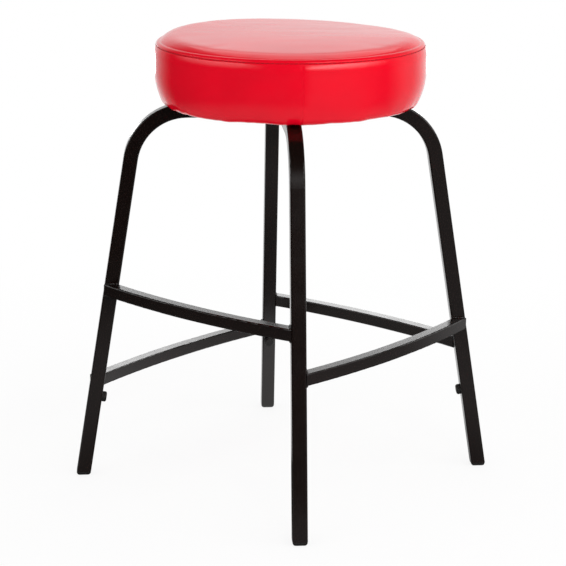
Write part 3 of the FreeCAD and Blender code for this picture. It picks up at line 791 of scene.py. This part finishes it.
def dress_cushion(piece, sizes, stations, stitch):
    """Seam, join, puckers, lower edge and hem, on the subdivided mesh."""
    mesh = piece.data
    points = points_of(mesh)
    normals = np.array([vertex.normal for vertex in mesh.vertices])
    along = np.empty(len(mesh.vertices))
    mesh.attributes["along"].data.foreach_get("value", along)
    x, y = points[:, 0] - SEAT_X, points[:, 1]
    reach, angle = np.hypot(x, y), np.arctan2(y, x)
    outside = along < stations[-1] + 0.1 * MM
    on_band = (along > 0) & outside
    on_top = along <= 0

    # the join of the band's two ends stands at the front, and the columns close up to it
    join = angle + math.pi / 2
    spread = 2 * math.pi * JOIN_COLUMNS / COLUMNS
    near = (np.abs(join) < spread) & on_band
    closed = np.sign(join) * spread * (np.abs(join) / spread) ** JOIN_CLOSING
    share = slope(along, stitch - 1.5 * MM, stitch + 2.5 * MM) * near
    angle = angle + (closed - join) * share
    way = np.stack([np.cos(angle), np.sin(angle)], 1)
    points[:, :2] = (SEAT_X, 0) + way * reach[:, None]
    gap = (angle + math.pi / 2) * SEAT_RADIUS
    proud = JOIN_STEP * slope(gap, -0.8 * MM, 2.6 * MM) * (1 - slope(gap, 18 * MM, 60 * MM))
    side_part = slope(along, stitch, stitch + 6 * MM) * on_band
    shift = side_part * (proud - JOIN_GROOVE * bell(gap, JOIN_WIDTH))

    # crease, stitch groove, the swelling under it and the cover's slow unevenness
    shift -= sizes.seam_depth * bell(along, CREASE_WIDTH) * outside
    shift -= sizes.stitch_depth * bell(along - stitch, GROOVE_WIDTH) * on_band
    shift += sizes.seam_puff * bell(along - stitch - PUFF_DROP, PUFF_DROP) * on_band
    puckers = around(angle, 11 * MM, 3) * bell(along - stitch - 5 * MM, 5 * MM)
    shift += STITCH_PUCKER * puckers * on_band
    shift += BAND_WAVE * waves(points, 46 * MM, 1) * (1 - bell(along - stitch, 9 * MM)) * on_band
    streaks = np.stack([x * 0.35 + y * 0.2, y - x * 0.12, 0 * x], 1)
    shift += CROWN_STREAK * waves(streaks, 26 * MM, 2) * on_top
    points += normals * shift[:, None]
    points[:, 2] += lift_crown(points, sizes) * on_top

    # lower edge
    from_hem = np.clip(stations[-1] - along, 0, None)
    droop = bell(from_hem - sizes.hem_width - 8 * MM, 14 * MM) * on_band
    sag = around(angle, 24 * MM, 5) * EDGE_SAG + around(angle, 9 * MM, 8) * EDGE_PUCKER
    points[:, 2] -= (EDGE_DROP + sag) * droop
    points[:, :2] += way * (sag * EDGE_SIDEWAYS * droop)[:, None]

    under = (points[:, 2] < BOARD_LOW.z + 1 * MM) & (along > stitch)
    inward = reach - (BOARD_RADIUS - sizes.hem_width)
    points[:, 2] -= hem_hang(points, inward, angle, sizes) * under
    move_points(mesh, points)


def hem_hang(points, inward, angle, sizes):
    """How far the gathers of the hem hang, none of it over the tubes or at a staple."""
    ridges = np.abs(np.sin(angle * GATHERS + 0.8 * np.sin(angle * 7)))
    fold = (1 - ridges) ** 2 * sizes.pleat_depth
    free = 1 - slope(inward, 2 * MM, sizes.hem_width - sizes.hem_curl - 4 * MM)
    gaps = np.linalg.norm(points[:, None, :2] - staple_spots()[None], axis=2).min(axis=1)
    beside_tube = np.minimum(np.abs(points[:, 0]), np.abs(points[:, 1])) - TUBE_HALF
    return fold * free * slope(beside_tube, 2 * MM, 9 * MM) * slope(gaps, 5 * MM, 11 * MM)


def crease_rows(mesh, rows, sharp):
    """Keep the edges of some rows sharp when the mesh is subdivided."""
    creases = mesh.attributes.new("crease_edge", "FLOAT", "EDGE")
    for edge in mesh.edges:
        first, second = edge.vertices
        if rows[first] == rows[second] and rows[first] in sharp:
            creases.data[edge.index].value = 1.0


def subdivide(piece):
    """One level of subdivision, applied."""
    smoother = piece.modifiers.new("smooth", "SUBSURF")
    smoother.levels = 1
    evaluated = piece.evaluated_get(bpy.context.evaluated_depsgraph_get())
    mesh = bpy.data.meshes.new_from_object(evaluated)
    piece.modifiers.remove(smoother)
    old, piece.data = piece.data, mesh
    bpy.data.meshes.remove(old)
    mesh.name = piece.name


class STOOL_OT_cushion(bpy.types.Operator):
    """Build the vinyl cushion: swell its cover by simulation, then add seams, join and hem"""

    bl_idname = "stool.cushion"
    bl_label = "Cushion"

    def execute(self, context):
        sizes = context.scene.stool_cushion
        points, faces, rows, stations, stitch = cushion_grid(sizes)
        materials = [vinyl_finish("vinyl", sizes.vinyl_color), backing_finish("cover_backing"),
                     foam_finish("foam")]
        piece = add_piece("cushion", points, faces, materials)
        mesh = piece.data
        hem_row = GRID + len(stations)
        inside = [WELL_INSIDE] * (GRID - len(RIM_CELLS)) + list(RIM_CELLS) + [0]
        past_hem = stations[-1] + np.arange(1, rows.max() - hem_row + 1) * LID_PLACE
        places = np.concatenate([-np.array(inside), stations, past_hem])
        along = mesh.attributes.new("along", "FLOAT", "POINT")
        along.data.foreach_set("value", places[rows])
        for polygon in mesh.polygons:
            row = min(rows[number] for number in polygon.vertices)
            hidden = BACKING if row < hem_row + BACKING_ROWS else FOAM
            polygon.material_index = VINYL if row < hem_row else hidden
        sewn = GRID + np.flatnonzero(stations < stitch + SEWN_BELOW) + 1
        moved = fill_cushion(piece, rows, hem_row - FLAT_ROWS, {GRID - 1, GRID, *sewn})
        moved = keep_size(points, calm(mesh, moved, CALM_ROUNDS), rows, MOST_MOVED)
        share = np.where(rows < GRID, sizes.crown_wrinkles, sizes.wrinkles)
        move_points(mesh, points + moved * share[:, None])
        crease_rows(mesh, rows, {GRID, *range(hem_row, hem_row + HARD_ROWS)})
        subdivide(piece)
        dress_cushion(piece, sizes, stations, stitch)
        ride(piece, ["cover_top", "cover_band", "seat_foam"])
        return {"FINISHED"}


class STOOL_OT_stitching(bpy.types.Operator):
    """Sew the ring of thread stitches into the groove under the seam"""

    bl_idname = "stool.stitching"
    bl_label = "Stitching"

    span = 0.86  # length of a stitch, as a share of the pitch
    slant = 0.25 * MM  # rise of one end from the stitch line, and fall of the other
    sunk = 0.55  # depth of both ends in the cover, in thread widths
    climb = 0.9  # height of the middle over the ends, in thread widths

    def execute(self, context):
        sizes = context.scene.stool_cushion
        cushion = bpy.data.objects["cushion"]
        tree = BVHTree.FromObject(cushion, context.evaluated_depsgraph_get())
        level = CROWN_TOP - sizes.stitch_drop
        pitch = 2 * math.pi / sizes.stitch_count
        stitches = [self.stitch(tree, (number + 0.5) * pitch, pitch, level, sizes.thread_width)
                    for number in range(sizes.stitch_count)]
        thread = thread_finish("thread", sizes.thread_color)
        piece = add_piece("topstitch", *gather(stitches), [thread])
        ride(piece)
        return {"FINISHED"}

    def stitch(self, tree, middle, pitch, level, width):
        """One stitch: out of its needle hole, along the groove and down into the next hole."""
        path, frames = [], []
        for share in np.linspace(-0.5, 0.5, 9):
            angle = middle + share * pitch * self.span
            out = Vector((math.cos(angle), math.sin(angle), 0))
            height = level + self.slant * math.sin(share * math.pi)
            start = Vector((SEAT_X, 0, height)) + out * (SEAT_RADIUS + 0.02)
            spot = tree.ray_cast(start, -out)[0]
            if spot is None:
                raise RuntimeError("the stitch line misses the cushion")
            dive = 1 - (2 * abs(share)) ** 4
            path.append(spot + out * (dive * self.climb - self.sunk) * width)
            frames.append((out, Vector((0, 0, 1))))
        return sweep(path, section(width / 2, width / 2, 8), frames)


class STOOL_OT_staples(bpy.types.Operator):
    """Bend the round-edged wire staples that hold the hem to the board"""

    bl_idname = "stool.staples"
    bl_label = "Staples"

    bend = 0.8 * MM  # radius of the wire's two corners
    wire = 0.35 * MM  # half its thickness

    def execute(self, context):
        parts = [self.staple(part) for part in loose_parts("cover_staples")]
        zinc = zinc_finish("staple_wire", context.scene.stool_frame.zinc_color, 0.30)
        piece = add_piece("staples", *gather(parts), [zinc])
        ride(piece, ["cover_staples"])
        return {"FINISHED"}

    def staple(self, corners):
        """Wire along one leg, the crown and the other leg, in place of a frame staple."""
        low, high = corners[:, 2].min(), corners[:, 2].max()
        middle = Vector((*corners[:, :2].mean(axis=0), 0))
        out = middle.normalized()
        across = Vector((-out.y, out.x, 0))
        flat = corners[:, :2] - np.array(middle[:2])
        spans = [flat @ np.array(way[:2]) for way in (across, out)]
        half, breadth = spans[0].max(), spans[1].max()
        side, crown = half - self.wire, low + self.wire
        route = [(side, high)]
        route += [(side - self.bend * (1 - math.cos(turn)),
                   crown + self.bend * (1 - math.sin(turn)))
                  for turn in np.linspace(0, math.pi / 2, 6)]
        route += [(-x, z) for x, z in route[::-1]]
        path = [middle + across * x + Vector((0, 0, z)) for x, z in route]
        frames = []
        for number in range(len(path)):
            before, after = path[max(number - 1, 0)], path[min(number + 1, len(path) - 1)]
            frames.append((out, (after - before).normalized().cross(out)))
        return sweep(path, section(breadth, self.wire, 12, 0.5), frames)


class STOOL_OT_welds(bpy.types.Operator):
    """Lay rippled weld beads where the rails and the level runs meet the legs"""

    bl_idname = "stool.welds"
    bl_label = "Weld Beads"

    rings = 5  # in one ripple
    turns = 9  # points over the bead's face
    sink = 0.25  # how deep the bead's root lies in the joint, as a share of its legs
    backing = 0.9  # reach of its hidden back along each leg
    bow = 0.28  # curve of a ripple over the face, as a share of the pitch
    round_top, mean = 0.7, 0.6  # power that rounds a ripple's top, and what it then averages
    swells = ((0.10, 9, 2.3), (0.06, 23, 1))  # slow changes of size: share, pace, offset by seed
    blunt = 0.35  # size at the very ends, as a share
    taper = 0.9  # ripples from an end to the full size

    def execute(self, context):
        settings = context.scene.stool_frame
        paint = bpy.data.materials["powder_coat"]
        for joint in ("cross", *RAILS):
            node = f"weld_{joint}"
            parts = enumerate(loose_parts(node), 1)
            beads = [self.bead(part, settings, seed) for seed, part in parts]
            piece = add_piece(f"bead_{joint}", *gather(beads), [paint])
            ride(piece, [node])
        return {"FINISHED"}

    def bead(self, corners, settings, seed):
        """A convex bead with crescent ripples along the run of a plain frame bead."""
        start, run, first, second = self.run_of(corners)
        length = run.length
        along = run / length
        count = max(4, round(length / settings.bead_pitch))
        rows = []
        turns = np.linspace(0, math.pi / 2, self.turns)
        for step in range(count * self.rings + 1):
            share = step / (count * self.rings)
            ripple = abs(math.sin(share * count * math.pi)) ** self.round_top - self.mean
            swell = sum(size * math.sin(share * pace + seed * offset)
                        for size, pace, offset in self.swells)
            from_end = min(share, 1 - share) * count / self.taper
            end = min(1.0, self.blunt + (1 - self.blunt) * math.sqrt(from_end))
            row = []
            for turn in turns:
                out = first * math.cos(turn) + second * math.sin(turn)
                crescent = self.bow * settings.bead_pitch * math.sin(2 * turn)
                reach = min(max(share * length + crescent, 0), length)
                height = out * (1 + swell) * end + out.normalized() * ripple * settings.bead_ripple
                row.append(start + height + along * reach)
            root = start - (first + second) * self.sink + along * share * length
            size = self.backing * end
            rows.append(row + [root + second * size, root, root + first * size])
        return tube(rows)

    def run_of(self, corners):
        """Root line and the two legs of a triangular bead, from its six corners."""
        spots = [Vector(corner) for corner in corners]
        root = min(spots, key=lambda spot: sum((other - spot).length for other in spots))
        spans = sorted((other - root for other in spots if other != root),
                       key=lambda span: span.length)
        first, second = spans[:2]
        normal = first.cross(second).normalized()
        run = max(((other - root).dot(normal) for other in spots), key=abs)
        return root, normal * run, first, second


class STOOL_OT_frame(bpy.types.Operator):
    """Finish the legs and rails in black powder coat"""

    bl_idname = "stool.frame"
    bl_label = "Tubes"

    def execute(self, context):
        settings = context.scene.stool_frame
        paint = paint_finish("powder_coat", settings.paint_color, settings.paint_roughness)
        legs = ("leg_hoop", "leg_back", "leg_front")
        paint_nodes([*legs, *(f"rail_{rail}" for rail in RAILS)], paint)
        return {"FINISHED"}


class STOOL_OT_small_parts(bpy.types.Operator):
    """Finish the feet, rubber buttons, plywood board, screws, washers and tee nuts"""

    bl_idname = "stool.small_parts"
    bl_label = "Small Parts"

    def execute(self, context):
        settings = context.scene.stool_frame
        plastic = plastic_finish("foot_plastic", settings.plastic_color)
        rubber = rubber_finish("buffer_rubber", settings.rubber_color)
        plywood = plywood_finish("plywood", settings.wood_color)
        zinc = zinc_finish("fastener_zinc", settings.zinc_color, 0.26)
        paint_nodes(["seat_board"], plywood)
        for side in SIDES:
            paint_nodes([f"foot_{side}"], plastic)
            paint_nodes([f"buffer_{side}"], rubber)
            paint_nodes([f"seat_screw_{side}", f"washer_{side}", f"tee_nut_{side}"], zinc)
        return {"FINISHED"}


class STOOL_OT_studio(bpy.types.Operator):
    """Set the camera, lamps, surroundings and floor"""

    bl_idname = "stool.studio"
    bl_label = "Studio"

    lamps = (  # name, place, level aimed at on the axis, size, whether shiny parts mirror it
        ("key", (1.86, -1.68, 1.55), 0.45, (3.9, 0.6), False),
        ("strip", (0.27, -1.68, 2.15), 0.45, (0.5, 0.7), False),
        ("fill", (-2.1, -1.2, 1.95), 0.45, (1.6, 0.9), True),
        ("low", (0.0, 0.95, 0.43), 0.2, (0.9, 0.09), True),
        ("back", (0.3, 2.2, 2.5), 0.45, (1.8, 1.2), True),
    )
    floor_half = 9.0

    def execute(self, context):
        settings = context.scene.stool_studio
        self.camera(context.scene, settings)
        for name, place, level, size, mirrored in self.lamps:
            power = getattr(settings, f"{name}_power")
            self.lamp(name, Vector(place), Vector((0, 0, level)), size, power, mirrored)
        self.surroundings(context.scene, settings)
        self.floor(settings)
        return {"FINISHED"}

    def camera(self, scene, settings):
        data = bpy.data.cameras.new("camera")
        data.lens = settings.lens
        data.sensor_width = 36
        camera = bpy.data.objects.new("camera", data)
        pan = Matrix.Rotation(settings.camera_pan, 4, "Z")
        tilt = Matrix.Rotation(settings.camera_tilt, 4, "X")
        roll = Matrix.Rotation(settings.camera_roll, 4, "Z")
        camera.matrix_world = Matrix.Translation(settings.camera_place) @ pan @ tilt @ roll
        scene.collection.objects.link(camera)
        scene.camera = camera
        scene.view_settings.view_transform = "Standard"

    def lamp(self, name, place, aim, size, power, mirrored):
        data = bpy.data.lights.new(name, "AREA")
        data.shape = "RECTANGLE"
        data.size, data.size_y = size
        data.energy = power
        lamp = bpy.data.objects.new(name, data)
        lamp.location = place
        lamp.visible_camera = False
        lamp.visible_glossy = mirrored
        lamp.rotation_euler = (aim - place).to_track_quat("-Z", "Y").to_euler()
        bpy.context.scene.collection.objects.link(lamp)

    def room(self, settings, x, y):
        """What shiny parts mirror: a white wall behind the stool and dim ones at the right."""
        front = (0.71 * x - 0.71 * y).rise(0.78, 0.86) * (-1 * y).rise(0, 0.8)
        side = x.rise(0.3, 0.9) * y.rise(-0.25, 0.3) * settings.side_strength
        behind = (0.2 * x + 0.98 * y).rise(0.3, 0.98)
        walls = (front * settings.wall_strength).at_least(side)
        return walls.at_least(behind).at_least(settings.room_strength)

    def windows(self, settings, x, y, z):
        """Two soft bright patches in front, which shiny parts mirror along the top of the band."""
        height = z.rise(0.04, 0.34) * (1 - z.rise(0.38, 0.66))
        right = (0.42 * x - 0.91 * y).rise(0.4, 0.93) * x.rise(0.07, 0.27) * settings.right_window
        left = (-0.97 * x - 0.26 * y).rise(0.62, 0.93) * settings.left_window
        return height * right.at_least(left)

    def background(self, finish, mirrored):
        """White for straight rays and the room for mirrored ones."""
        direct, through, glossy = finish.rays("Camera", "Transmission", "Glossy")
        return direct.at_least(through).at_least(glossy * mirrored)

    def surroundings(self, scene, settings):
        """White where the background shows, and an even soft light everywhere else."""
        scene.world = bpy.data.worlds.new("surroundings")
        scene.world.use_nodes = True
        finish = Finish(scene.world.node_tree)
        shader = scene.world.node_tree.nodes["Background"]
        x, y, z = finish.split(finish.add("ShaderNodeTexCoord").outputs["Generated"])
        walls = self.room(settings, x, y) * (1 - 0.7 * z.rise(0.2, 0.75))
        mirrored = walls.at_least(self.windows(settings, x, y, z))
        even = settings.sky_strength * finish.rays("Diffuse")[0]
        scene.world.cycles.sampling_method = "NONE"
        finish.put(shader.inputs["Color"], (1, 1, 1))
        finish.put(shader.inputs["Strength"], self.background(finish, mirrored).at_least(even))

    def floor(self, settings):
        """Pale floor that shows white, keeps the stool's shadow and is clear from below."""
        corners = ((-1, -1), (1, -1), (1, 1), (-1, 1))
        points = [(x * self.floor_half, y * self.floor_half, 0) for x, y in corners]
        material = bpy.data.materials.new("floor")
        material.use_nodes = True
        finish = Finish(material.node_tree)
        material.node_tree.nodes.clear()
        x, y, _ = finish.split(finish.place())
        distance = ((x * x + y * y) ** 0.5).at_least(0.01)
        glow = settings.floor_glow + (1 - settings.floor_glow) * distance.rise(0.45, 1.2)
        near = distance.rise(0.1, 0.45) * (1 - distance.rise(0.6, 1.2)) * settings.near_strength
        mirrored = self.room(settings, x / distance, y / distance).at_least(near)
        matt = finish.add("ShaderNodeBsdfDiffuse", inputs={"Color": settings.floor_color})
        glossy, direct = finish.rays("Glossy", "Camera")
        white = finish.add("ShaderNodeEmission", inputs={
            "Color": (1, 1, 1), "Strength": (1 - glossy) + glossy * mirrored})
        lit = finish.add("ShaderNodeMixShader", inputs={
            0: (direct * glow).at_least(glossy), 1: matt.outputs[0], 2: white.outputs[0]})
        clear = finish.add("ShaderNodeBsdfTransparent")
        back = finish.add("ShaderNodeNewGeometry").outputs["Backfacing"]
        mix = finish.add("ShaderNodeMixShader", inputs={
            0: back, 1: lit.outputs[0], 2: clear.outputs[0]})
        finish.add("ShaderNodeOutputMaterial", inputs={"Surface": mix.outputs[0]})
        add_piece("floor", points, [(0, 1, 2, 3)], [material], smooth=False)


class STOOL_PT_panel(bpy.types.Panel):
    """The stool's settings and the steps that build it"""

    bl_label = "Round Padded Stool"
    bl_idname = "STOOL_PT_panel"
    bl_space_type = "VIEW_3D"
    bl_region_type = "UI"
    bl_category = "Stool"

    def draw(self, context):
        for name, group in SETTINGS.items():
            box = self.layout.box()
            box.label(text=group.__doc__)
            for setting in group.__annotations__:
                box.prop(getattr(context.scene, name), setting)
        for step in STEPS:
            self.layout.operator(step.bl_idname)


STEPS = (STOOL_OT_frame, STOOL_OT_welds, STOOL_OT_small_parts, STOOL_OT_staples, STOOL_OT_cushion,
         STOOL_OT_stitching, STOOL_OT_studio)
SETTINGS = {
    "stool_cushion": CushionSettings,
    "stool_frame": FrameSettings,
    "stool_studio": StudioSettings,
}


def register():
    for cls in (*SETTINGS.values(), *STEPS, STOOL_PT_panel):
        bpy.utils.register_class(cls)
    for name, cls in SETTINGS.items():
        setattr(bpy.types.Scene, name, PointerProperty(type=cls))


def unregister():
    for name in SETTINGS:
        delattr(bpy.types.Scene, name)
    for cls in (STOOL_PT_panel, *STEPS[::-1], *SETTINGS.values()):
        bpy.utils.unregister_class(cls)


def main():
    register()
    for step in STEPS:
        getattr(bpy.ops.stool, step.bl_idname.split(".")[1])()


if __name__ == "__main__":
    main()
